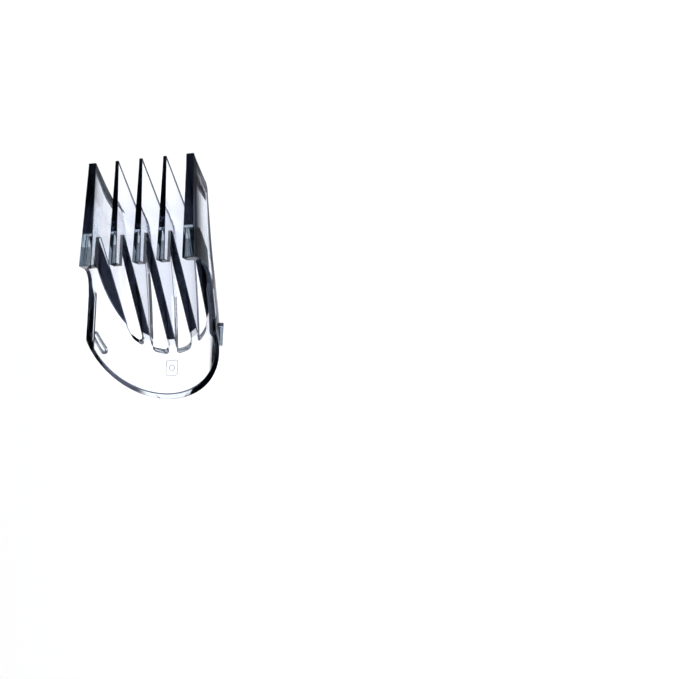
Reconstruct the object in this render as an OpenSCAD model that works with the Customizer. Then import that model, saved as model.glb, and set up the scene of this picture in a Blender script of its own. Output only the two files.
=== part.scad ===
// Clear guide comb that clips over a hair clipper's blade.
// One injection moulding, drawn as its named features, which meet face to face.
//
// The comb is designed in its own directions and then laid down on its back:
//   x  across the comb, 0 on its plane of symmetry
//   d  depth, 0 at the teeth's straight front edges, growing towards the skin side
//   h  distance from the tooth tips towards the rounded end of the bib
// place() turns x, d, h into the part's frame: +X across, +Y towards the tips, +Z up.
// The origin is the middle of the part's footprint box, on the surface it lies on.

/* [Teeth] */
// Distance between neighbouring inner teeth, centre to centre
tooth_pitch = 9.15; // [8.8:0.05:9.5]
// Thickness of an inner tooth at its tip
tooth_tip_t = 1.2; // [0.8:0.1:1.8]
// Thickness of an inner tooth from the prong end onwards
tooth_root_t = 3.2; // [2.8:0.1:3.6]
// Half the clear width between the two outer teeth, at their front edges
outer_inside_x = 17.3; // [16.8:0.1:17.8]
// How far each outer tooth's inside face leans in, per millimetre of depth
outer_lean = 0.09; // [0:0.01:0.1]
// Depth of the blunt end at each tooth tip
tip_flat = 0.3; // [0.1:0.1:0.8]

/* [Prongs and blade notch] */
// Length of a tooth's front edge, from the tip to the prong's end
prong_h = 35.4; // [33:0.1:37]
// Depth of a prong, front to back
prong_d = 4.2; // [3.4:0.1:4.6]
// Height where the blade notch's slanted face would meet the prong
notch_h = 23.7; // [22:0.1:25]
// How far the notch is cut back from that point to make a seat for the blade
seat_drop = 0.9; // [0.4:0.1:1.5]
// Depth gained per millimetre of height along the slanted face
slant = 0.65; // [0.6:0.01:0.7]

/* [Shell] */
// Half the width of the comb at the tooth tips
tip_x = 20.1; // [19.6:0.1:20.6]
// Half the width of the comb at the prong ends, at the front
prong_x = 22.0; // [21.5:0.1:22.5]
// Half the width of the arch beside the notch
arch_x = 22.8; // [22.4:0.1:23.2]
// Half the width of the arch at the bib
bib_x = 24.8; // [24.2:0.1:25.4]
// Depth of the crown, the deepest line of the arch, at the bib's end
crown_d = 28.6; // [28:0.1:29.2]
// Radius of the crown's bend in side view
crown_r = 156; // [150:1:170]
// Height where the crown runs parallel to the front edges
crown_h = 72; // [70:1:74]
// Wall thickness of the shell
wall = 1.5; // [1.2:0.1:1.8]

/* [Rim] */
// Depth of the side rims where the rounded end begins
rim_d = 11.5; // [11:0.1:12]
// Height where the rounded end begins
rim_h = 58; // [57:0.5:59]
// Height of the comb's lowest point, at the middle of the rounded end
end_h = 76.5; // [75:0.5:78]
// Extra thickness of the side rims' edge ribs
rib_t = 1.0; // [0.6:0.1:1.2]

/* [Catches and mark] */
// Length of each oblong catch on the wings
catch_l = 8.6; // [7.6:0.1:9.6]
// Width of each catch
catch_w = 2.5; // [2.4:0.1:3.2]
// Width of the slot along the middle of each catch
catch_slot = 1.3; // [0.8:0.1:1.4]
// How far each catch stands out of the wing
catch_out = 1.3; // [0.8:0.1:1.6]
// Width of the moulded mark inside the bib
mark_w = 4.8; // [4:0.1:5.6]
// Height of the moulded mark
mark_l = 5.6; // [4.8:0.1:6.4]
// How far the mark stands up
mark_t = 0.3; // [0.2:0.05:0.5]

/* [Hidden] */

plastic = [0.80, 0.85, 0.90];

// The back of the middle tooth is flat between these heights, which is where the comb rests.
rest_from_h = 22;
rest_to_h = 42;
// Heights at which the teeth's back outlines have a point
back_heights = [-2, 8, 15, rest_from_h, rest_to_h, 48, 54, 60, 66, 72];
far = 40;

// Depth of the arch's springing line, where the flat side wall ends, at its two ends
spring_low_h = 30;
spring_low_d = 8;
full_width_h = 55;
notch_side_h = 33;

// Crown depth, half width and springing depth of the arch at height h
function crown_at(h) = crown_d - pow(max(crown_h - h, 0), 2) / (2 * crown_r);
function arch_x_at(h) = lookup(h, [[0, tip_x], [notch_side_h, arch_x], [full_width_h, bib_x]]);
function spring_at(h) = lookup(h, [[spring_low_h, spring_low_d], [full_width_h, rim_d]]);
function front_x_at(h) = tip_x + (prong_x - tip_x) * h / prong_h;

// Depth of the arch at height h and angle "turn" round it, 0 at the right springing line
function arch_d(turn, h, inset) = spring_at(h) + (crown_at(h) - inset - spring_at(h)) * sin(turn);

// Half width of the outer surface at height h and depth d: a straight side, then the arch
function side_x(h, d) = arch_x_at(h) - (arch_x_at(h) - front_x_at(h)) * (1 - d / spring_at(h));
function outside_x(h, d) = d <= spring_at(h) ? side_x(h, d) :
    arch_x_at(h) * sqrt(max(0, 1 - pow((d - spring_at(h)) / (crown_at(h) - spring_at(h)), 2)));

// The slanted plane that bounds every tooth from below
function slant_h(d) = notch_h + (d - prong_d) / slant;
function slant_d(h) = prong_d + (h - notch_h) * slant;
seat_h = notch_h + seat_drop;

// The rim plane of the rounded end
rim_rise = (end_h - rim_h) / (crown_d - rim_d);
function rim_at(d) = rim_h + (d - rim_d) * rim_rise;

// Height where the arch meets the slanted plane or the rim plane, closed in on step by step
function top_h(turn, inset, h = 50, steps = 24) =
    steps == 0 ? h : top_h(turn, inset, slant_h(arch_d(turn, h, inset)), steps - 1);
function low_h(turn, inset, h = 66, steps = 24) =
    steps == 0 ? h : low_h(turn, inset, rim_at(arch_d(turn, h, inset)), steps - 1);

function blend(a, b, t) = a + (b - a) * t;
function point(x, d, h) = [x, -h, -d];
function arch_point(turn, h, inset) = point((arch_x_at(h) - inset) * cos(turn), arch_d(turn, h, inset), h);

// A solid between two sheets of points, near and far, each a grid of the same size.
// "used" says which cells of the grid the solid fills.
module grid_solid(near, away, used = function(i, j) true) {
    cols = len(near);
    rows = len(near[0]);
    at = function(sheet, i, j) (sheet * cols + i) * rows + j;
    filled = function(i, j) i >= 0 && j >= 0 && i < cols - 1 && j < rows - 1 && used(i, j);
    quad = function(a, b, c, d) [[a, b, c], [a, c, d]];
    edge = function(i1, j1, i2, j2) quad(at(0, i1, j1), at(0, i2, j2), at(1, i2, j2), at(1, i1, j1));
    faces = [for (i = [0 : cols - 2], j = [0 : rows - 2]) if (filled(i, j)) each concat(
        quad(at(0, i, j), at(0, i + 1, j), at(0, i + 1, j + 1), at(0, i, j + 1)),
        quad(at(1, i, j), at(1, i, j + 1), at(1, i + 1, j + 1), at(1, i + 1, j)),
        filled(i - 1, j) ? [] : edge(i, j, i, j + 1),
        filled(i + 1, j) ? [] : edge(i + 1, j + 1, i + 1, j),
        filled(i, j - 1) ? [] : edge(i + 1, j, i, j),
        filled(i, j + 1) ? [] : edge(i, j + 1, i + 1, j + 1)
    )];
    polyhedron([for (sheet = [near, away], column = sheet) each column], faces);
}

// Turns the comb's own directions into the part's frame, lying on the middle tooth's flat
rest_tilt = atan2(crown_at(rest_to_h) - crown_at(rest_from_h), rest_to_h - rest_from_h);
rest_z = crown_at(rest_from_h) * cos(rest_tilt) - rest_from_h * sin(rest_tilt);
length_y = end_h * cos(rest_tilt) + crown_d * sin(rest_tilt);
module place() {
    translate([0, length_y / 2, rest_z])
        rotate([-rest_tilt, 0, 0])
            children();
}

// Draws a right-hand feature, or its mirror image on the left
module on_side(side) {
    color(plastic)
        place()
            mirror([side < 0 ? 1 : 0, 0, 0])
                children();
}

// A stretch of shell between two angles round the arch, from the slanted plane to the rim
shell_rows = 9;
module shell(from, to, cols) {
    sheet = function(inset) [for (i = [0 : cols]) let (turn = blend(from, to, i / cols))
        [for (j = [0 : shell_rows])
            arch_point(turn, blend(top_h(turn, inset), low_h(turn, inset), j / shell_rows), inset)]];
    grid_solid(sheet(0), sheet(wall));
}

// The wings reach from the springing lines to this angle, and the bib spans the rest
wing_turn = 45;
module bib() {
    color(plastic)
        place()
            shell(wing_turn, 180 - wing_turn, 18);
}

wing_cols = 10;
module wing() {
    shell(0, wing_turn, wing_cols);
}

// The thin web behind an outer prong, between the prong, the slanted plane and the wing
web_heights = [seat_h, 27, slant_h(spring_low_d), 32.5, prong_h, 37.2, 39.8, 41.4];
web_front = [prong_d, prong_d, prong_d, prong_d, prong_d, 7.4, 9.0, 9.4];
module web() {
    back = [for (h = web_heights) min(slant_d(h), spring_at(h))];
    sheet = function(inset) [for (i = [0 : len(web_heights) - 1]) [for (t = [0, 0.5, 1])
        let (h = web_heights[i], d = blend(web_front[i], back[i], t))
        point(side_x(h, d) - inset, d, h)]];
    grid_solid(sheet(wall), sheet(0));
}

// Side view of a tooth, as [-h, -d]: blunt tip, 45 degree top, slanted face, seat and prong
tooth_side = [for (p = [
    [0, 0], [tip_flat, 0], [far, far - tip_flat], [far, slant_h(far)],
    [slant_d(seat_h), seat_h], [prong_d, seat_h], [prong_d, prong_h], [0, prong_h]
]) [-p[1], -p[0]]];

// An inner tooth, "at" its distance from the middle. Its back edge lies in the arch.
module inner_tooth(at) {
    tip = tooth_tip_t / 2;
    root = tooth_root_t / 2;
    back = [for (h = back_heights) [-h, -arch_d(acos(at / arch_x_at(h)), h, 0)]];
    color(plastic)
        place()
            translate([at, 0, 0])
                intersection() {
                    translate([-root, 0, 0])
                        rotate([90, 0, 90])
                            linear_extrude(2 * root)
                                intersection() {
                                    polygon(tooth_side);
                                    polygon(concat([[-back_heights[0], 1]], back,
                                        [[-back_heights[len(back_heights) - 1], 1]]));
                                }
                    translate([0, 0, -far])
                        linear_extrude(2 * far)
                            polygon([[-tip, 1], [-tip, 0], [-root, -prong_h], [-root, -far - far],
                                [root, -far - far], [root, -prong_h], [tip, 0], [tip, 1]]);
                }
}

// Inside face of the right outer tooth, and the height above which the arch is too narrow for it
back_edge_t = 0.25;
function inside_x(d) = outer_inside_x - outer_lean * d;
function back_h(d, low = 0, high = 70, steps = 20) =
    let (mid = (low + high) / 2, wide = outside_x(mid, d) > inside_x(d) + back_edge_t)
    steps == 0 ? high : back_h(d, wide ? low : mid, wide ? mid : high, steps - 1);
// Depth at which that height reaches the slanted plane, less a blunt end
function deepest(low = prong_d, high = crown_d, steps = 20) =
    let (mid = (low + high) / 2, clear = back_h(mid) < slant_h(mid) - 0.5)
    steps == 0 ? low : deepest(clear ? mid : low, clear ? high : mid, steps - 1);

// The right outer tooth, as columns of points at growing depth from the tip line downwards.
// The last rows are the prong, which only the first columns have.
tooth_cols = 12;
tooth_rows = 8;
prong_rows = 2;
module outer_tooth() {
    depths = concat([0, prong_d], [for (i = [0 : tooth_cols]) blend(slant_d(seat_h), deepest(), i / tooth_cols)]);
    heights = function(d) let (top = max(d - tip_flat, back_h(d), 0), low = max(seat_h, slant_h(d)))
        concat([for (j = [0 : tooth_rows]) blend(top, low, j / tooth_rows)],
            [for (j = [1 : prong_rows]) blend(seat_h, prong_h, j / prong_rows)]);
    inner = [for (d = depths) [for (h = heights(d)) point(inside_x(d), d, h)]];
    outer = [for (d = depths) [for (h = heights(d)) point(outside_x(h, d), d, h)]];
    grid_solid(outer, inner, function(i, j) j < tooth_rows || i == 0);
}

// The thickened edge inside the side rim, two of the wing's columns wide
rib_top_h = 42;
rib_cols = 2;
module edge_rib() {
    turns = [for (i = [0 : rib_cols]) i * wing_turn / wing_cols];
    sheet = function(inset) [for (turn = turns) [for (j = [0 : shell_rows])
        arch_point(turn, blend(rib_top_h, low_h(turn, inset), j / shell_rows), inset)]];
    grid_solid(sheet(wall), sheet(wall + rib_t));
}

module oblong(w, l) {
    square([w, l - w], center = true);
    for (end = [-1, 1])
        translate([0, end * (l - w) / 2])
            circle(d = w, $fn = 48);
}

// An oblong ring on the wing's outer surface, square to it and in line with the rim
catch_h = 57.9;
catch_turn = 22;
catch_twist = 41;
module catch_ring() {
    rise = crown_at(catch_h) - rim_d;
    spot = arch_point(catch_turn, catch_h, 0);
    normal = atan2(bib_x * sin(catch_turn), rise * cos(catch_turn));
    translate(spot)
        rotate([0, 90 + normal, 0])
            rotate([0, 0, catch_twist])
                linear_extrude(catch_out)
                    difference() {
                        oblong(catch_w, catch_l);
                        oblong(catch_slot, catch_l - catch_w + catch_slot);
                    }
}

// A small plain pad inside the bib, where a setting number would be moulded
mark_h = 66;
module setting_mark() {
    d = arch_d(acos(mark_w / 2 / (bib_x - wall)), mark_h, wall);
    color([0.92, 0.93, 0.95])
        place()
            translate(point(0, d, mark_h))
                rotate([atan((crown_h - mark_h) / crown_r), 0, 0])
                    translate([-mark_w / 2, -mark_l / 2, 0])
                        cube([mark_w, mark_l, mark_t]);
}

module left_wing() { on_side(-1) wing(); }
module right_wing() { on_side(1) wing(); }
module left_web() { on_side(-1) web(); }
module right_web() { on_side(1) web(); }
module tooth_left_outer() { on_side(-1) outer_tooth(); }
module tooth_left() { inner_tooth(-tooth_pitch); }
module tooth_middle() { inner_tooth(0); }
module tooth_right() { inner_tooth(tooth_pitch); }
module tooth_right_outer() { on_side(1) outer_tooth(); }
module left_edge_rib() { on_side(-1) edge_rib(); }
module right_edge_rib() { on_side(1) edge_rib(); }
module left_catch() { on_side(-1) catch_ring(); }
module right_catch() { on_side(1) catch_ring(); }

bib();
left_wing();
right_wing();
left_web();
right_web();
tooth_left_outer();
tooth_left();
tooth_middle();
tooth_right();
tooth_right_outer();
left_edge_rib();
right_edge_rib();
left_catch();
right_catch();
setting_mark();
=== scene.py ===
import math

import bmesh
import bpy
from mathutils import Matrix, Vector


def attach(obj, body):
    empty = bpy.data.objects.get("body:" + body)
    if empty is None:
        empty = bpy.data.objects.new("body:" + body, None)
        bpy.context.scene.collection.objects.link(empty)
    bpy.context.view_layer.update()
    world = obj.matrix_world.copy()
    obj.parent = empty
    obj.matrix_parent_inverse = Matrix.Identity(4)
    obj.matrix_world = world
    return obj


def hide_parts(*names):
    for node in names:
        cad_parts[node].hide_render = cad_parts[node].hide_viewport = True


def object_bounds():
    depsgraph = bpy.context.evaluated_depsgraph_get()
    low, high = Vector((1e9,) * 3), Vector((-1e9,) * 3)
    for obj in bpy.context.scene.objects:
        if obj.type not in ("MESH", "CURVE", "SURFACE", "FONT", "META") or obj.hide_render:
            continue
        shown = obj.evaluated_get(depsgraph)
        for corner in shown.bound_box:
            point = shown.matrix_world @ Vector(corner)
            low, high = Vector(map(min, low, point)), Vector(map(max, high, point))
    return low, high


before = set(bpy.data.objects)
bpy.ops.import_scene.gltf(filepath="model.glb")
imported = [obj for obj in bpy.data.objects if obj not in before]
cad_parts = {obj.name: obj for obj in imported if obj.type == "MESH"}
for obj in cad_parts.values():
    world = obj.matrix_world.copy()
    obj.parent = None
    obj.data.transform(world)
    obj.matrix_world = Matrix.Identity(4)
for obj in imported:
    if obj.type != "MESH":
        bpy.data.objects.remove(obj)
cad_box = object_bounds()
low, high = Vector(cad_box[0]), Vector(cad_box[1])

# ---------------------------------------------------------------------------------------------
# The comb's own directions: x across, d depth from the teeth's front edges towards the back, h
# from the tooth tips towards the rounded end of the bib. at() turns them into the row frame, in
# metres, with the comb lying on its back. Lengths are in millimetres and angles in degrees, and
# MM or math.radians() turns them into what Blender wants.
# ---------------------------------------------------------------------------------------------
MM = 0.001
# Inner teeth: pitch, and thickness at the tip and at the root
PITCH, TIP_T, ROOT_T = 9.15, 1.2, 3.2
# Outer teeth: where their inner faces are at the front, and how far these lean in per depth
OUTER_X, OUTER_LEAN = 17.3, 0.09
# Flat at the tips, height and depth of the prongs, and where the teeth reach their root thickness
TIP_FLAT, PRONG_H, PRONG_D = 0.3, 35.4, 4.2
KINK_H = PRONG_H + 0.5
# The seat behind the prongs, and the slanted plane through (PRONG_D, NOTCH_H), in depth per height
NOTCH_H, SEAT_H, SLANT = 23.7, 24.6, 0.65
# Half widths at the tips, at the prongs' ends, of the arch at ARCH_H and of the bib from BIB_H on
TIP_X, PRONG_X, ARCH_X, BIB_X = 20.1, 22.0, 22.8, 24.8
ARCH_H, BIB_H = 33.0, 55.0
# The arch springs from the flat sides at this depth down to SPRING_H, and at the rim's from BIB_H on
SPRING_D, SPRING_H = 8.0, 30.0
# The back: its greatest depth, the radius of its curve and the height where it is deepest
CROWN_D, CROWN_R, CROWN_H = 28.6, 156.0, 72.0
# Wall, depth of the side rims, and the height of the rounded end at the rims and at the back
WALL, RIM_D, RIM_H, END_H = 1.5, 11.5, 58.0, 76.5
RIM_SLOPE = (END_H - RIM_H) / (CROWN_D - RIM_D)
# The rib inside the rims: thickness, how far up the arch it goes, and where it begins
RIB_T, RIB_TURN, RIB_FADE = 1.0, 6.0, 3.0
RIB_FROM, RIB_GROWS = 40.0, 4.0
# Slots in the shell: corner radius, how far they run past the slanted plane, and their end's slope
SLOT_R, SLOT_EXTRA, SLOT_END_SLOPE = 1.2, 1.4, 0.9
# Catches: height, turn up the arch, twist, then the rings' length, width, opening and both faces
CATCH_H, CATCH_TURN, CATCH_TWIST = 57.9, math.radians(20.8), math.radians(41)
CATCH_L, CATCH_W, CATCH_SLOT, CATCH_IN, CATCH_OUT = 8.6, 2.5, 1.3, -0.7, 1.1
# Setting mark: height, then the frame's width, length and line, and its foot and top
MARK_H, MARK_W, MARK_L, MARK_LINE, MARK_IN, MARK_OUT = 66.0, 4.8, 5.6, 0.4, -0.4, 0.25
# Heights on the back between which the comb lies on the floor
REST_FROM, REST_TO = 22.0, 42.0
# Where the blocks and cutters end, past the comb: h over the tips, x at the sides, d behind the back
OVER_TIPS, ASIDE, BEHIND = -6.0, 40.0, 60.0
# Fineness of the outer and inner surfaces
HEIGHTS = [OVER_TIPS + 2.0 * i for i in range(45)]
SIDE_STEPS, ARCH_STEPS = 6, 60


def crown(h):
    """Depth of the outer surface in the middle."""
    return CROWN_D - max(CROWN_H - h, 0.0) ** 2 / (2 * CROWN_R)


TILT = math.atan2(crown(REST_TO) - crown(REST_FROM), REST_TO - REST_FROM)
REST_Z = crown(REST_FROM) * math.cos(TILT) - REST_FROM * math.sin(TILT)
HALF_Y = (high.y - low.y) / MM / 2


def at(x, d, h):
    """A point of the comb in the row frame, in metres."""
    y = -h * math.cos(TILT) - d * math.sin(TILT) + HALF_Y
    z = h * math.sin(TILT) - d * math.cos(TILT) + REST_Z
    return Vector((x * MM, y * MM, z * MM))


def lerp(a, b, t):
    return a + (b - a) * t


def ease(t):
    t = min(max(t, 0.0), 1.0)
    return t * t * (3 - 2 * t)


def bend(h, points, reach=5.0, steps=10):
    """A line through the points, with each corner rounded over reach millimetres."""
    def line(v):
        if v <= points[0][0]:
            return points[0][1]
        for (h1, v1), (h2, v2) in zip(points, points[1:]):
            if v <= h2:
                return lerp(v1, v2, (v - h1) / (h2 - h1))
        return points[-1][1]
    return sum(line(h + reach * (2 * (i + 0.5) / steps - 1)) for i in range(steps)) / steps


def arch_x(h):
    """Half the outer width."""
    over = 20
    tips = (-over, TIP_X - over * (ARCH_X - TIP_X) / ARCH_H)
    return bend(h, [tips, (0, TIP_X), (ARCH_H, ARCH_X), (BIB_H, BIB_X)])


def spring(h):
    """Depth where the flat sides end and the arch begins."""
    return bend(h, [(SPRING_H, SPRING_D), (BIB_H, RIM_D)])


def front_x(h):
    """Half the outer width at the teeth's front edges."""
    return TIP_X + (PRONG_X - TIP_X) * h / PRONG_H


def slant_d(h):
    return PRONG_D + (h - NOTCH_H) * SLANT


def slant_h(d):
    return NOTCH_H + (d - PRONG_D) / SLANT


def tooth_half(h):
    """Half an inner tooth's thickness."""
    return lerp(TIP_T, ROOT_T, min(h / KINK_H, 1.0)) / 2


def inner_surface(x, h):
    """Depth of the shell's inner surface at a distance x from the middle."""
    half = arch_x(h) - WALL
    return spring(h) + (crown(h) - WALL - spring(h)) * math.sqrt(max(1 - (x / half) ** 2, 0.0))


def shell_inside(x):
    """Depth at which the shell's inner surface meets the slanted plane, at a distance x from the middle."""
    d = 20.0
    for _ in range(30):
        d = inner_surface(x, slant_h(d))
    return d


# ---------------------------------------------------------------------------------------------
# Solids
# ---------------------------------------------------------------------------------------------
def new_object(name, bm):
    bmesh.ops.recalc_face_normals(bm, faces=bm.faces)
    if bm.calc_volume(signed=True) < 0:
        bmesh.ops.reverse_faces(bm, faces=bm.faces)
    mesh = bpy.data.meshes.new(name)
    bm.to_mesh(mesh)
    bm.free()
    ob = bpy.data.objects.new(name, mesh)
    bpy.context.scene.collection.objects.link(ob)
    return ob


def join_rings(bm, rings):
    """Faces between rings of vertices, each ring to the next."""
    n = len(rings[0])
    for a, b in zip(rings, rings[1:]):
        for i in range(n):
            j = (i + 1) % n
            bm.faces.new((a[i], a[j], b[j], b[i]))


def rings_solid(name, rings):
    """A closed solid through rings of points, capped at both ends."""
    bm = bmesh.new()
    grid = [[bm.verts.new(p) for p in ring] for ring in rings]
    join_rings(bm, grid)
    bm.faces.new(grid[0])
    bm.faces.new(list(reversed(grid[-1])))
    return new_object(name, bm)


def side_prism(name, outline):
    """The outline, in (d, h), run across the comb and past both its sides."""
    return rings_solid(name, [[at(x, d, h) for d, h in outline] for x in (-ASIDE, ASIDE)])


def apply_modifiers(ob):
    deps = bpy.context.evaluated_depsgraph_get()
    mesh = bpy.data.meshes.new_from_object(ob.evaluated_get(deps))
    ob.modifiers.clear()
    old = ob.data
    ob.data = mesh
    bpy.data.meshes.remove(old)


def combine(a, b, how):
    mod = a.modifiers.new("cut", "BOOLEAN")
    mod.operation = how
    mod.object = b
    mod.solver = "MANIFOLD"
    apply_modifiers(a)
    bpy.data.objects.remove(b)


def envelope(name, inset):
    """The solid inside the comb's outer surface, or inside its inner surface when inset."""
    front = -2.0
    rings = []
    for h in HEIGHTS:
        base, top = spring(h), crown(h) - inset
        start = ease((h - RIB_FROM) / RIB_GROWS) * RIB_T if inset else 0.0
        right = []
        for d in [lerp(front, base, i / SIDE_STEPS) for i in range(SIDE_STEPS)]:
            side = arch_x(h) - (arch_x(h) - front_x(h)) * (1 - d / base)
            right.append((side - inset - start, d))
        arch = []
        for turn in [180.0 * i / ARCH_STEPS for i in range(ARCH_STEPS + 1)]:
            near = min(turn, 180 - turn)
            rib = start * (1 - ease((near - RIB_TURN + RIB_FADE / 2) / RIB_FADE))
            half = arch_x(h) - inset
            x = half * math.cos(math.radians(turn))
            d = base + (top - base) * math.sin(math.radians(turn))
            x -= math.copysign(rib, x) if abs(x) > 1 else 0.0
            arch.append((x, d))
        left = [(-x, d) for x, d in reversed(right)]
        rings.append([at(x, d, h) for x, d in right + arch + left])
    return rings_solid(name, rings)


def outer_profile():
    """The comb in side view, in (d, h): the tips, the back left open wide, the end, the rim, a prong."""
    rim = [(PRONG_D, PRONG_H), (5.6, 35.7), (6.9, 36.5), (8.0, 37.8), (8.8, 39.4), (9.3, 41.2)]
    rim += [(spring(h), h) for h in (43.0, 45.0, 47.5, 50.0, 52.5, BIB_H, RIM_H)]
    tips = [(0.0, 0.0), (TIP_FLAT, 0.0), (BEHIND, BEHIND - TIP_FLAT)]
    end = [(BEHIND, RIM_H + (BEHIND - RIM_D) * RIM_SLOPE)]
    return tips + end + list(reversed(rim)) + [(0.0, PRONG_H)]


def hollow_profile():
    """What is taken out inside the shell, in (d, h): below the seat, behind the prongs, open in front."""
    far, below, front = 80.0, 100.0, -1.0
    seat = [(slant_d(SEAT_H), SEAT_H), (PRONG_D, SEAT_H)]
    return seat + [(PRONG_D, 40.0), (front, 46.0), (front, below), (far, below), (far, slant_h(far))]


def face_of(middle, side):
    """An inner tooth's face, as a function of (d, h)."""
    return lambda d, h: middle + side * tooth_half(h)


def outer_face(side):
    """An outer tooth's inner face, as a function of (d, h)."""
    return lambda d, h: side * (OUTER_X - OUTER_LEAN * d)


def slot_cutter(name, left, right):
    """The gap between two teeth: all that is above the slanted plane, between their faces. In the
    shell it runs lower and ends squarer, with two round corners."""
    step, lip, front = 0.02, 0.2, -3.0
    back = slant_d(SEAT_H) + 0.05
    width = right(CROWN_D, KINK_H) - left(CROWN_D, KINK_H)
    turns = [math.pi / 2 * i / 6 for i in range(7)]
    half = [(SLOT_R * (1 - math.cos(t)) / width, SLOT_R * (1 - math.sin(t))) for t in turns]
    columns = []
    bm = bmesh.new()
    for t, lift in half + [(1 - t, lift) for t, lift in reversed(half)]:
        inside = CROWN_D
        for _ in range(6):
            inside = shell_inside(lerp(left(inside, KINK_H), right(inside, KINK_H), t))
        edge = inside - lip
        end = slant_h(inside) + SLOT_EXTRA - lift
        outline = [(front, OVER_TIPS), (front, KINK_H), (back, KINK_H), (back, slant_h(back) + step),
                   (slant_d(KINK_H), KINK_H + step), (edge, slant_h(edge) + step),
                   (edge + lip / 2, end), (BEHIND, end + (BEHIND - inside) * SLOT_END_SLOPE),
                   (BEHIND, KINK_H + step), (BEHIND, OVER_TIPS)]
        columns.append([bm.verts.new(at(lerp(left(d, h), right(d, h), t), d, h)) for d, h in outline])
    for part in ([0, 1, 2, 3, 4, 8, 9], [4, 5, 6, 7, 8]):
        bm.faces.new([columns[0][i] for i in part])
        bm.faces.new([columns[-1][i] for i in reversed(part)])
    n = len(columns[0])
    for near, away in zip(columns, columns[1:]):
        for i in range(n):
            j = (i + 1) % n
            bm.faces.new((near[i], away[i], away[j], near[j]))
    return new_object(name, bm)


def oblong(width, length, arc=10):
    """Points round a slot shape, with half circles at its two ends."""
    r, straight = width / 2, (length - width) / 2
    out = []
    for end, start in ((1, 0.0), (-1, math.pi)):
        for i in range(arc + 1):
            t = start + math.pi * i / arc
            out.append((r * math.cos(t), end * straight + r * math.sin(t)))
    return out


def rounded_box(width, length, r, arc=5):
    """Points round a rectangle with round corners."""
    out = []
    for cx, cy, start in ((1, 1, 0.0), (-1, 1, 0.5), (-1, -1, 1.0), (1, -1, 1.5)):
        for i in range(arc + 1):
            t = (start + 0.5 * i / arc) * math.pi
            out.append((cx * (width / 2 - r) + r * math.cos(t), cy * (length / 2 - r) + r * math.sin(t)))
    return out


def ring_solid(name, outer, inner, bottom, top, put):
    """A ring between two outlines of as many points, standing from bottom to top. put() places a point."""
    bm = bmesh.new()
    sheets = []
    for z in (bottom, top):
        sheets.append([[bm.verts.new(put(x, y, z)) for x, y in line] for line in (outer, inner)])
    (o0, n0), (o1, n1) = sheets
    n = len(outer)
    for i in range(n):
        j = (i + 1) % n
        bm.faces.new((o0[i], o0[j], o1[j], o1[i]))
        bm.faces.new((n0[j], n0[i], n1[i], n1[j]))
        bm.faces.new((o1[i], o1[j], n1[j], n1[i]))
        bm.faces.new((o0[j], o0[i], n0[i], n0[j]))
    return new_object(name, bm)


def put_catch(side):
    """Places a point of a catch on one of the wings, its z standing out of the outer surface."""
    rise = crown(CATCH_H) - RIM_D
    across = arch_x(CATCH_H) * math.cos(CATCH_TURN)
    spot = Vector((across, -CATCH_H, -(spring(CATCH_H) + rise * math.sin(CATCH_TURN))))
    lean = math.atan2(BIB_X * math.sin(CATCH_TURN), rise * math.cos(CATCH_TURN))
    turn = Matrix.Rotation(math.pi / 2 + lean, 3, "Y") @ Matrix.Rotation(CATCH_TWIST, 3, "Z")

    def put(x, y, z):
        p = spot + turn @ Vector((x, y, z))
        return at(side * p.x, -p.z, -p.y)
    return put


def put_mark(x, y, z):
    """Places a point of the setting mark inside the bib, its z standing out of the inner surface."""
    tilt = math.atan((CROWN_H - MARK_H) / CROWN_R)
    c, s = math.cos(tilt), math.sin(tilt)
    return at(x, crown(MARK_H) - WALL - (y * s + z * c), MARK_H - (y * c - z * s))


def block_below_zero():
    """Everything under the surface that the comb lies on."""
    half, deep = 60.0 * MM, 5.0 * MM
    square = [(-half, -half), (half, -half), (half, half), (-half, half)]
    return rings_solid("below", [[Vector((x, y, z)) for x, y in square] for z in (-deep, 0.0)])


# ---------------------------------------------------------------------------------------------
# The moulding: the outer shape, then what is taken out of it, then the catches and the mark
# ---------------------------------------------------------------------------------------------
comb = side_prism("comb", outer_profile())
combine(comb, envelope("hull", 0.0), "INTERSECT")
hollow = side_prism("hollow", hollow_profile())
combine(hollow, envelope("inner_hull", WALL), "INTERSECT")
combine(comb, hollow, "DIFFERENCE")

for i, (left_face, right_face) in enumerate([
    (outer_face(-1), face_of(-PITCH, -1)),
    (face_of(-PITCH, 1), face_of(0.0, -1)),
    (face_of(0.0, 1), face_of(PITCH, -1)),
    (face_of(PITCH, 1), outer_face(1)),
]):
    combine(comb, slot_cutter("slot_%d" % i, left_face, right_face), "DIFFERENCE")

for side_sign, label in ((-1, "left"), (1, "right")):
    outline = oblong(CATCH_W, CATCH_L)
    opening = oblong(CATCH_SLOT, CATCH_L - CATCH_W + CATCH_SLOT)
    ring = ring_solid(label + "_catch_ring", outline, opening, CATCH_IN, CATCH_OUT, put_catch(side_sign))
    combine(comb, ring, "UNION")

for label, outline, opening in (
    ("mark_frame", rounded_box(MARK_W, MARK_L, 0.9),
     rounded_box(MARK_W - 2 * MARK_LINE, MARK_L - 2 * MARK_LINE, 0.6)),
    ("mark_ring", rounded_box(2.4, 2.4, 1.19), rounded_box(1.5, 1.5, 0.74)),
):
    combine(comb, ring_solid(label, outline, opening, MARK_IN, MARK_OUT, put_mark), "UNION")

combine(comb, block_below_zero(), "DIFFERENCE")

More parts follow.
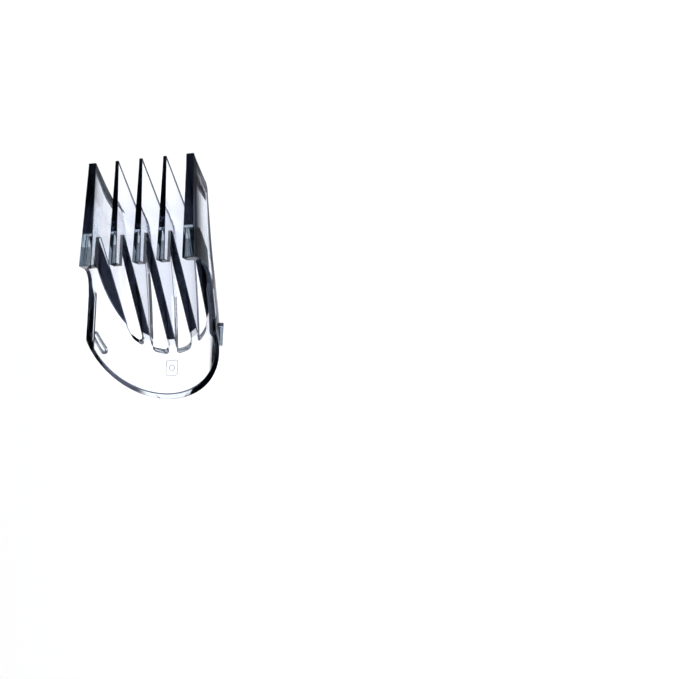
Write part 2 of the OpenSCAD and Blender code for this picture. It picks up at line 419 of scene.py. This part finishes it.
# ---------------------------------------------------------------------------------------------
# Faces are sorted by what they are, edges are rounded, and each kind of face gets its own tint, on most
# kinds a painted shade
# ---------------------------------------------------------------------------------------------
ORIGIN = at(0, 0, 0)
DEPTH = (at(0, 1, 0) - ORIGIN).normalized()
DOWN = (at(0, 0, 1) - ORIGIN).normalized()
ACROSS = Vector((1, 0, 0))
SIDE, FRONT, SLANTED, TOP, SEAT, PRONG_END, SLOT_END, RIM, EDGE, CATCH, MARK = range(11)

# Edges: the angle from which they are rounded, the largest radius, and the angle of smooth shading
HARD_ANGLE, EDGE_R, SMOOTH_ANGLE = 20, 0.25, 35
# Cleaning: points closer than these are merged, before and after rounding, and flat slivers dissolved
MERGE, MERGE_ROUND, SLIVER, SHORT_EDGE = 0.03, 0.004, 0.002, 0.35
# Where faces are split so that a tint or painted shade can change along them
PRONG_SPLIT_H, PRONG_FOOT_H = 29.0, SEAT_H - 0.2
RIM_CUTS = [-21.0, -18.0, -15.0, -12.0, -8.0, -3.0, 3.0, 8.0, 12.0, 15.0, 18.0, 21.0]
PLATE_CUTS = [5.0, 9.0, 13.0, 17.0, 21.0]
WALL_CUTS = [1.5, 3.0, 4.5, 6.5]
TOP_BAND = 0.8
# The painted dark of a slanted face stops this short of the shell
STRIP_SHORT = 0.9
# On the outer teeth it starts in a point: from POINT_X at the seat, POINT_W wider at POINT_FULL_H
POINT_X, POINT_W, POINT_FULL_H = OUTER_X + 0.6, 1.6, 34.0
# From here on outwards a side face is an outer tooth's outside or the wall beside the notch
OUTSIDE_X, WALL_X = OUTER_X + 1.0, 18.0


def back_to(p):
    """The (x, d, h) of a point in the row frame."""
    q = (p - ORIGIN) / MM
    return q.x, q.dot(DEPTH), q.dot(DOWN)


def beyond(x, d, h):
    """How far a point is outside the comb's outer surface, roughly, in millimetres."""
    if d <= spring(h):
        return abs(x) - arch_x(h)
    reach = math.hypot(x / arch_x(h), (d - spring(h)) / (crown(h) - spring(h)))
    return (reach - 1.0) * min(arch_x(h), crown(h) - spring(h))


def on_mark(x, d, h):
    if abs(x) > 2.6 or abs(h - MARK_H) > 3.2:
        return False
    return -1.0 < d - inner_surface(x, h) < -0.06


def kind_of(face):
    """What a face is, from its normal and its middle, which may be near or very near a plane."""
    straight, near, very_near = 0.99, 0.1, 0.05
    n = face.normal
    nx, nd, nh = n.x, n.dot(DEPTH), n.dot(DOWN)
    x, d, h = back_to(face.calc_center_median())
    off_slant = abs(slant_d(h) - d)
    if nd < -straight and abs(d) < very_near:
        return FRONT
    off_end = abs(RIM_H + (d - RIM_D) * RIM_SLOPE - h)
    if nh - nd * RIM_SLOPE > straight * math.hypot(1.0, RIM_SLOPE) and off_end < near:
        return RIM
    if on_mark(x, d, h):
        return MARK
    if abs(h - CATCH_H) < 5.0 and beyond(x, d, h) > 0.08:
        return CATCH
    length = math.hypot(1.0, SLANT)
    along = -nd / length + nh * SLANT / length
    if along > straight and off_slant < near:
        return SLANTED
    end_like = nh < -0.1 and abs(nd + nh * SLOT_END_SLOPE) < 0.08
    if end_like and h > 45.0 and off_slant < 2.5 and abs(x) < OUTER_X:
        return SLOT_END
    if nh < -0.5 and nd > 0.5 and abs(d - h - TIP_FLAT) < near:
        return TOP
    if nh < -straight and h < near:
        return TOP
    if nh > straight and abs(h - SEAT_H) < very_near:
        return SEAT
    if nh > straight and abs(h - PRONG_H) < very_near:
        return PRONG_END
    if abs(nx) < 0.2 and (nd < -0.3 or nh > 0.5) and PRONG_H < h < RIM_H and abs(x) > WALL_X:
        return RIM
    return SIDE


def near_mark(p):
    x, d, h = back_to(p)
    return abs(x) < 3.4 and abs(h - MARK_H) < 4.2


def hard_edges(bm):
    limit = math.radians(HARD_ANGLE)
    return [e for e in bm.edges if len(e.link_faces) == 2 and e.calc_face_angle(0.0) > limit]


def drop_slivers(bm):
    bmesh.ops.dissolve_degenerate(bm, edges=bm.edges, dist=SLIVER * MM)
    bm.normal_update()


def merge_short(bm):
    """Collapses short edges at the hard edges, so that a bevel has room, and keeps the corners in place."""
    for _ in range(6):
        hard = set(hard_edges(bm))
        rank = {}
        for e in hard:
            for v in e.verts:
                rank[v] = rank.get(v, 0) + 1
        targets = {}
        used = set()
        for e in sorted(bm.edges, key=lambda e: e.calc_length()):
            if e.calc_length() > SHORT_EDGE * MM:
                break
            a, b = e.verts
            if a in used or b in used or not (a in rank or b in rank) or near_mark(a.co):
                continue
            ra, rb = rank.get(a, 0), rank.get(b, 0)
            if ra and rb and (e not in hard or (ra != 2 and rb != 2)):
                continue
            if (ra == 2 and rb != 2 and rb) or (not ra):
                targets[a] = b
            else:
                targets[b] = a
            used.update(v for f in list(a.link_faces) + list(b.link_faces) for v in f.verts)
        if not targets:
            break
        bmesh.ops.weld_verts(bm, targetmap=targets)
        drop_slivers(bm)


def strip_end(x):
    """Depth where the painted dark of a slanted face gives way to a paler painted shade, where a fillet
    against the shell would catch light.
    """
    return shell_inside(x) - STRIP_SHORT


def above_start(x, h):
    """Whether a point of an outer tooth's slanted face is in its corner beside the seat, where its painted
    shade is paler.
    """
    rise = (h - SEAT_H) / (POINT_FULL_H - SEAT_H)
    return abs(abs(x) - OUTER_X) < ROOT_T and POINT_X - abs(x) > rise * POINT_W


def on_plate(x, d, h):
    """Whether a point is on a tooth's flat, above the slanted plane."""
    return h < slant_h(d) and abs(x) < OUTER_X + 0.1


def cut_faces(bm, kind, place, normal, where=lambda x, d, h: True):
    """Splits the faces of one kind along a plane."""
    bm.normal_update()
    faces = [f for f in bm.faces if kind_of(f) == kind and where(*back_to(f.calc_center_median()))]
    geom = list(set(faces) | {e for f in faces for e in f.edges} | {v for f in faces for v in f.verts})
    bmesh.ops.bisect_plane(bm, geom=geom, dist=0.001 * MM, plane_co=place, plane_no=normal)
    bm.normal_update()


def split_for_tints(bm):
    """Splits long faces where their tint or painted shade changes, because a tint sits at the corners of a
    face.
    """
    for x in RIM_CUTS:
        cut_faces(bm, RIM, at(x, 0, 0), ACROSS)
    for x0 in (-PITCH, 0.0, PITCH):
        left, right = x0 - ROOT_T / 2, x0 + ROOT_T / 2
        d1, d2 = strip_end(left), strip_end(right)
        plane = Vector((d1 - d2, 0, 0)) + DEPTH * (right - left)
        cut_faces(bm, SLANTED, at(left, d1, slant_h(d1)), plane, lambda x, d, h: abs(x - x0) < ROOT_T)
    for side in (-1, 1):
        plane = Vector((side * (POINT_FULL_H - SEAT_H), 0, 0)) + DOWN * POINT_W
        start = at(side * POINT_X, 0, SEAT_H)
        cut_faces(bm, SLANTED, start, plane, lambda x, d, h: x * side > OUTER_X - ROOT_T)
    for h in PLATE_CUTS:
        cut_faces(bm, SIDE, at(0, 0, h), DOWN, on_plate)
    tips = (DOWN - DEPTH).normalized()
    cut_faces(bm, SIDE, at(0, 0, TOP_BAND), tips, lambda x, d, h: abs(x) > OUTSIDE_X)
    for d in WALL_CUTS:
        cut_faces(bm, SIDE, at(0, d, 0), DEPTH, lambda x, d, h: abs(x) > WALL_X and d < 9.5 and h < RIM_H)


def edge_weight(e):
    """How round an edge is, as a share of EDGE_R."""
    kinds = {f.material_index for f in e.link_faces}
    x, d, h = back_to((e.verts[0].co + e.verts[1].co) / 2)
    if MARK in kinds:
        return 0.2
    if abs(h - CATCH_H) < 6.0 and beyond(x, d, h) > -0.2:
        return 0.6
    if SLANTED in kinds and abs(x) < PITCH + ROOT_T and d > strip_end(x) + 0.5:
        return 0.15
    if h < 1.0:
        return 0.4
    if SEAT in kinds and SIDE in kinds:
        return 0.25
    if h < d + TIP_FLAT + 0.1:
        return 1.6 if abs(x) > OUTSIDE_X else 0.9
    return 1.0


def finish_mesh(ob):
    """Cleans the mesh, splits its faces for the tints, rounds its edges and shades its flats flat."""
    bm = bmesh.new()
    bm.from_mesh(ob.data)
    bmesh.ops.remove_doubles(bm, verts=bm.verts, dist=MERGE * MM)
    drop_slivers(bm)
    for h in (PRONG_FOOT_H, PRONG_SPLIT_H):
        cut_faces(bm, FRONT, at(0, 0, h), DOWN)
    merge_short(bm)
    split_for_tints(bm)
    for f in bm.faces:
        f.material_index = kind_of(f)
    weight = bm.edges.layers.float.new("bevel_weight_edge")
    for e in hard_edges(bm):
        e[weight] = edge_weight(e)
    for _ in range(MARK + 1):
        ob.data.materials.append(None)
    bm.to_mesh(ob.data)
    bm.free()
    mod = ob.modifiers.new("round", "BEVEL")
    mod.limit_method = "WEIGHT"
    mod.width = EDGE_R * MM
    mod.segments = 2
    # The rounded edges take the EDGE kind, whose tint is a painted dark outline
    mod.material = EDGE
    mod.use_clamp_overlap = False
    apply_modifiers(ob)
    bm = bmesh.new()
    bm.from_mesh(ob.data)
    bmesh.ops.remove_doubles(bm, verts=bm.verts, dist=MERGE_ROUND * MM)
    drop_slivers(bm)
    for f in bm.faces:
        f.smooth = True
    for e in bm.edges:
        e.smooth = len(e.link_faces) == 2 and e.calc_face_angle(0.0) < math.radians(SMOOTH_ANGLE)
    bm.to_mesh(ob.data)
    bm.free()
    flat = ob.modifiers.new("flat_faces", "WEIGHTED_NORMAL")
    flat.mode = "FACE_AREA"
    flat.weight = 50
    flat.keep_sharp = True
    apply_modifiers(ob)


# A tint is what is left of the light that goes through one face of that kind: near white on the sides and
# seat, grey on the mark, and elsewhere painted shade, dark tints that stand in for the dark seen along the
# clear plastic's faces and edges
TINTS_AND_PAINTED_SHADE = {
    SIDE: (0.965, 0.965, 0.99),
    FRONT: (0.0006, 0.0008, 0.002),
    SLANTED: (0.0003, 0.0004, 0.0011),
    TOP: (0.12, 0.15, 0.20),
    SEAT: (0.9, 0.95, 1.0),
    PRONG_END: (0.01, 0.013, 0.02),
    SLOT_END: (0.05, 0.055, 0.065),
    RIM: (0.008, 0.010, 0.018),
    EDGE: (0.012, 0.015, 0.026),
    CATCH: (0.003, 0.0035, 0.005),
    MARK: (0.45, 0.46, 0.50),
}
# and these are painted shade for parts of a face, or what a painted shade fades to
PRONG_TOP_PAINTED_SHADE = (0.34, 0.43, 0.47)
PRONG_PAINTED_SHADE = (0.07, 0.10, 0.12)
RIM_PALE_PAINTED_SHADE = (0.45, 0.50, 0.56)
WALL_PAINTED_SHADE = (0.001, 0.003, 0.010)
CATCH_PALE_PAINTED_SHADE = (0.55, 0.60, 0.66)
SLOT_CORNER_PAINTED_SHADE = (0.004, 0.005, 0.007)
STRIP_END_PALE_PAINTED_SHADE = (0.75, 0.77, 0.82)
PLATE_PAINTED_SHADE = (0.80, 0.80, 0.86)
# Share of the gloss left on the outer walls beside the notch and on the dark parts of the rim
DULL_WALL, DULL_RIM = 0.3, 0.6


def blend(a, b, t):
    return tuple(lerp(p, q, t) for p, q in zip(a, b))


def rim_dark(x):
    """How much painted shade the rim gets: it is pale in the middle of the rounded end and dark on the
    wings.
    """
    return ease((abs(x) - 8.0) / 4.0)


# A face corner's colour: the plastic's own near-white tint, or a painted shade
def tint_or_painted_shade_at(kind, x, d, h, middle, nx):
    face_x, face_d, face_h = middle
    # Painted shade: a dark band along the outer teeth's top edges
    if kind == SIDE and abs(face_x) > OUTSIDE_X and face_h - face_d < TOP_BAND:
        return TINTS_AND_PAINTED_SHADE[EDGE]
    # Painted shade on the prongs' front faces, paler on their first part and darker further back
    if kind == FRONT and face_h > PRONG_FOOT_H:
        return PRONG_PAINTED_SHADE if face_h > PRONG_SPLIT_H else PRONG_TOP_PAINTED_SHADE
    # Paler painted shade where the dark of a slanted face stops, and in the outer teeth's corners beside
    # the seat
    if kind == SLANTED and abs(face_x) < PITCH + ROOT_T and face_d > strip_end(face_x):
        return STRIP_END_PALE_PAINTED_SHADE
    if kind == SLANTED and face_h < POINT_FULL_H and above_start(face_x, face_h):
        return STRIP_END_PALE_PAINTED_SHADE
    # Painted shade on the catches, darkest on the faces that face sideways
    if kind == CATCH:
        return blend(CATCH_PALE_PAINTED_SHADE, TINTS_AND_PAINTED_SHADE[CATCH], ease((abs(nx) - 0.5) / 0.3))
    # Painted shade at the slots' ends, darkest in their corners
    if kind == SLOT_END:
        return blend(TINTS_AND_PAINTED_SHADE[SLOT_END], SLOT_CORNER_PAINTED_SHADE, min(abs(nx), 1.0))
    # Painted shade on the rim, pale in the middle and dark on the wings
    if kind == RIM:
        return blend(RIM_PALE_PAINTED_SHADE, TINTS_AND_PAINTED_SHADE[RIM], rim_dark(x))
    # Painted shade on the outer walls beside the notch, darkest at the front
    if kind == SIDE and h < PRONG_H and d < spring(h) + 1.0 and abs(x) > front_x(h) - 0.3:
        return blend(WALL_PAINTED_SHADE, TINTS_AND_PAINTED_SHADE[SIDE], ease((d - 1.5) / 5.0))
    # Painted shade on the teeth's flats, darker towards their roots
    if kind == SIDE and on_plate(x, d, h):
        return blend(TINTS_AND_PAINTED_SHADE[SIDE], PLATE_PAINTED_SHADE, ease((h - 6.0) / 16.0))
    return TINTS_AND_PAINTED_SHADE[kind]


def gloss_at(kind, x, h, nx):
    """How much of the outside's gloss is left: the rim and the outer walls beside the notch are duller."""
    if kind == RIM:
        return 1.0 - (1.0 - DULL_RIM) * rim_dark(x)
    if kind == SIDE and abs(x) > OUTSIDE_X and nx * x > 0:
        return DULL_WALL + (1.0 - DULL_WALL) * ease((h - 36.0) / 10.0)
    return 1.0


def paint(ob):
    """Writes each face's tint or painted shade, with the gloss as its alpha, to the attribute that the
    material reads.
    """
    mesh = ob.data
    layer = mesh.attributes.new("tint", "FLOAT_COLOR", "CORNER")
    for face in mesh.polygons:
        middle = back_to(face.center)
        for i in face.loop_indices:
            place = back_to(mesh.vertices[mesh.loops[i].vertex_index].co)
            gloss = gloss_at(face.material_index, place[0], place[2], face.normal.x)
            layer.data[i].color = (*tint_or_painted_shade_at(face.material_index, *place, middle, face.normal.x), gloss)
        face.material_index = 0


finish_mesh(comb)
paint(comb)
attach(comb, "root")
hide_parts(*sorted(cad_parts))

# ---------------------------------------------------------------------------------------------
# Clear plastic
# ---------------------------------------------------------------------------------------------
PLASTIC_IOR, ROUGHNESS, WORN_ROUGHNESS = 1.57, 0.012, 0.048
# A painted near-black shade where the surface is seen at a grazing angle, and what is left of the lamps'
# light behind a layer of plastic
GRAZING_PAINTED_DARK = (0.0008, 0.001, 0.002)
GRAZING_FROM, GRAZING_TO = 0.53, 0.68
SHADOW_TINT = (0.975, 0.98, 0.985)
GLOSS_TINT = (0.35, 0.40, 0.55)
# Absorption inside the plastic, per metre
DEPTH_TINT, DEPTH_DENSITY = (0.35, 0.42, 0.50), 60.0
# Waves in the surface: how many per metre, and how high, in metres
WAVE_SCALE, WAVE_HEIGHT, WAVE_STRENGTH = 220.0, 0.0002, 0.12


def clear_material(name):
    """Clear plastic that bends light, lets lamps through and darkens what is seen through much of it, with
    the painted shade from the tint attribute and a painted near-black at grazing angles.
    """
    mat = bpy.data.materials.new(name)
    mat.use_nodes = True
    tree = mat.node_tree
    nodes, links = tree.nodes, tree.links
    body = nodes["Principled BSDF"]
    out = nodes["Material Output"]
    # The painted tint and shade, and a painted near-black where the surface is seen at a grazing angle
    tint = nodes.new("ShaderNodeAttribute")
    tint.attribute_name = "tint"
    facing = nodes.new("ShaderNodeLayerWeight")
    facing.inputs["Blend"].default_value = 0.5
    steep = nodes.new("ShaderNodeMapRange")
    steep.interpolation_type = "SMOOTHSTEP"
    steep.inputs["From Min"].default_value = GRAZING_FROM
    steep.inputs["From Max"].default_value = GRAZING_TO
    links.new(facing.outputs["Facing"], steep.inputs["Value"])
    grazing = nodes.new("ShaderNodeMix")
    grazing.data_type = "RGBA"
    grazing.inputs["B"].default_value = (*GRAZING_PAINTED_DARK, 1)
    links.new(steep.outputs["Result"], grazing.inputs["Factor"])
    links.new(tint.outputs["Color"], grazing.inputs["A"])
    # Moulded plastic is never quite flat: soft waves bend what is seen through it
    spot = nodes.new("ShaderNodeTexCoord")
    waves = nodes.new("ShaderNodeTexNoise")
    waves.inputs["Scale"].default_value = WAVE_SCALE
    waves.inputs["Detail"].default_value = 3.0
    bump = nodes.new("ShaderNodeBump")
    bump.inputs["Strength"].default_value = WAVE_STRENGTH
    bump.inputs["Distance"].default_value = WAVE_HEIGHT
    links.new(spot.outputs["Object"], waves.inputs["Vector"])
    links.new(waves.outputs["Fac"], bump.inputs["Height"])
    # and use has left the gloss a little uneven
    wear = nodes.new("ShaderNodeMapRange")
    wear.inputs["From Min"].default_value = 0.35
    wear.inputs["From Max"].default_value = 0.75
    wear.inputs["To Min"].default_value = ROUGHNESS
    wear.inputs["To Max"].default_value = WORN_ROUGHNESS
    links.new(waves.outputs["Fac"], wear.inputs["Value"])
    body.inputs["Specular Tint"].default_value = (*GLOSS_TINT, 1)
    body.inputs["IOR"].default_value = PLASTIC_IOR
    body.inputs["Transmission Weight"].default_value = 1.0
    links.new(grazing.outputs["Result"], body.inputs["Base Color"])
    links.new(bump.outputs["Normal"], body.inputs["Normal"])
    links.new(wear.outputs["Result"], body.inputs["Roughness"])
    # A surface that bends light but has no gloss takes over on the outside, as far as the tint's alpha
    # says. From inside the plastic the gloss stays whole, because there it carries the light along
    dull = nodes.new("ShaderNodeBsdfRefraction")
    dull.inputs["IOR"].default_value = PLASTIC_IOR
    links.new(grazing.outputs["Result"], dull.inputs["Color"])
    links.new(wear.outputs["Result"], dull.inputs["Roughness"])
    links.new(bump.outputs["Normal"], dull.inputs["Normal"])
    sides = nodes.new("ShaderNodeNewGeometry")
    share = nodes.new("ShaderNodeMath")
    share.operation = "MAXIMUM"
    links.new(tint.outputs["Alpha"], share.inputs[0])
    links.new(sides.outputs["Backfacing"], share.inputs[1])
    gloss = nodes.new("ShaderNodeMixShader")
    links.new(share.outputs[0], gloss.inputs[0])
    links.new(dull.outputs[0], gloss.inputs[1])
    links.new(body.outputs[0], gloss.inputs[2])
    # Lamps shine through, so that the floor under the comb isn't black
    path = nodes.new("ShaderNodeLightPath")
    through = nodes.new("ShaderNodeBsdfTransparent")
    through.inputs[0].default_value = (*SHADOW_TINT, 1)
    surface = nodes.new("ShaderNodeMixShader")
    links.new(path.outputs["Is Shadow Ray"], surface.inputs[0])
    links.new(gloss.outputs[0], surface.inputs[1])
    links.new(through.outputs[0], surface.inputs[2])
    links.new(surface.outputs[0], out.inputs["Surface"])
    volume = nodes.new("ShaderNodeVolumeAbsorption")
    volume.inputs["Color"].default_value = (*DEPTH_TINT, 1)
    volume.inputs["Density"].default_value = DEPTH_DENSITY
    links.new(volume.outputs[0], out.inputs["Volume"])
    return mat


comb.data.materials.clear()
comb.data.materials.append(clear_material("clear_plastic"))

# ---------------------------------------------------------------------------------------------
# Floor and light
# ---------------------------------------------------------------------------------------------
FLOOR_HALF, FLOOR_WHITE = 0.9, (0.9, 0.9, 0.9)
SKY_TINT = (0.95, 0.97, 1.0)
# Pale at the horizon, like a studio backdrop, and dim overhead, so that the plastic keeps its dark
# streaks: how steeply up the fade starts and ends, and the strength of the light at both ends
SKY_FADE = {"From Min": 0.10, "From Max": 0.50, "To Min": 0.92, "To Max": 0.05}

bm = bmesh.new()
bmesh.ops.create_grid(bm, x_segments=1, y_segments=1, size=FLOOR_HALF)
floor = new_object("floor", bm)
white = bpy.data.materials.new("floor_white")
white.use_nodes = True
white.node_tree.nodes["Principled BSDF"].inputs["Base Color"].default_value = (*FLOOR_WHITE, 1)
floor.data.materials.append(white)

world = bpy.data.worlds.new("studio")
bpy.context.scene.world = world
world.use_nodes = True
tree = world.node_tree
sky = tree.nodes["Background"]
sky.inputs["Color"].default_value = (*SKY_TINT, 1)
heading = tree.nodes.new("ShaderNodeTexCoord")
split = tree.nodes.new("ShaderNodeSeparateXYZ")
fade = tree.nodes.new("ShaderNodeMapRange")
fade.interpolation_type = "SMOOTHSTEP"
for socket, value in SKY_FADE.items():
    fade.inputs[socket].default_value = value
tree.links.new(heading.outputs["Generated"], split.inputs[0])
tree.links.new(split.outputs["Z"], fade.inputs["Value"])
tree.links.new(fade.outputs["Result"], sky.inputs["Strength"])
bpy.context.scene.view_settings.view_transform = "Standard"


def softbox(name, place, aim, size, power):
    """A square soft light. Places and sizes are in metres."""
    lamp = bpy.data.lights.new(name, "AREA")
    lamp.shape = "SQUARE"
    lamp.size = size
    lamp.energy = power
    ob = bpy.data.objects.new(name, lamp)
    bpy.context.scene.collection.objects.link(ob)
    ob.location = place
    ob.rotation_euler = (Vector(place) - Vector(aim)).to_track_quat("Z", "Y").to_euler()


softbox("key", (1.875, -0.375, 2.875), (0.1, 0, 0), 2.2, 140)
softbox("fill", (-0.25, 2.75, 2.25), (0, 0, 0), 1.5, 34)

# ---------------------------------------------------------------------------------------------
# Camera: it looks at the comb's front from the right and a little from the bib's end. Directions
# are worked out in x, d and -h. VIEW_OFF is how far right of and below VIEW_CENTRE it looks.
# ---------------------------------------------------------------------------------------------
AZIMUTH, ELEVATION, ROLL = math.radians(30.13), math.radians(-12.86), math.radians(2.707)
VIEW_CENTRE, VIEW_OFF, EYE_DISTANCE = at(0, 14, 38), (61.3996, 20.5079), 880.0
LENS, SENSOR = 139.0748, 36.0


def turned(v):
    """A direction given as x, d and -h, in the row frame, in metres per millimetre of v."""
    return at(v.x, v.y, -v.z) - ORIGIN


def look(eye, target, up):
    camera = bpy.data.objects.new("camera", bpy.data.cameras.new("camera"))
    bpy.context.scene.collection.objects.link(camera)
    back = (eye - target).normalized()
    right = up.cross(back).normalized()
    axes = Matrix((right, back.cross(right), back)).transposed()
    camera.matrix_world = Matrix.Translation(eye) @ axes.to_4x4()
    camera.data.sensor_width = SENSOR
    camera.data.lens = LENS
    camera.data.clip_start = 0.01
    bpy.context.scene.camera = camera


flat_right = Vector((math.cos(AZIMUTH), math.sin(AZIMUTH), 0.0))
to_eye = Vector((math.sin(AZIMUTH), -math.cos(AZIMUTH), 0.0)) * math.cos(ELEVATION)
to_eye.z = math.sin(ELEVATION)
level_up = to_eye.cross(flat_right)
view_right = math.cos(ROLL) * flat_right + math.sin(ROLL) * level_up
view_up = math.cos(ROLL) * level_up - math.sin(ROLL) * flat_right
view_aim = VIEW_CENTRE + turned(view_right * VIEW_OFF[0] - view_up * VIEW_OFF[1])
look(VIEW_CENTRE + turned(to_eye * EYE_DISTANCE), view_aim, turned(view_up))
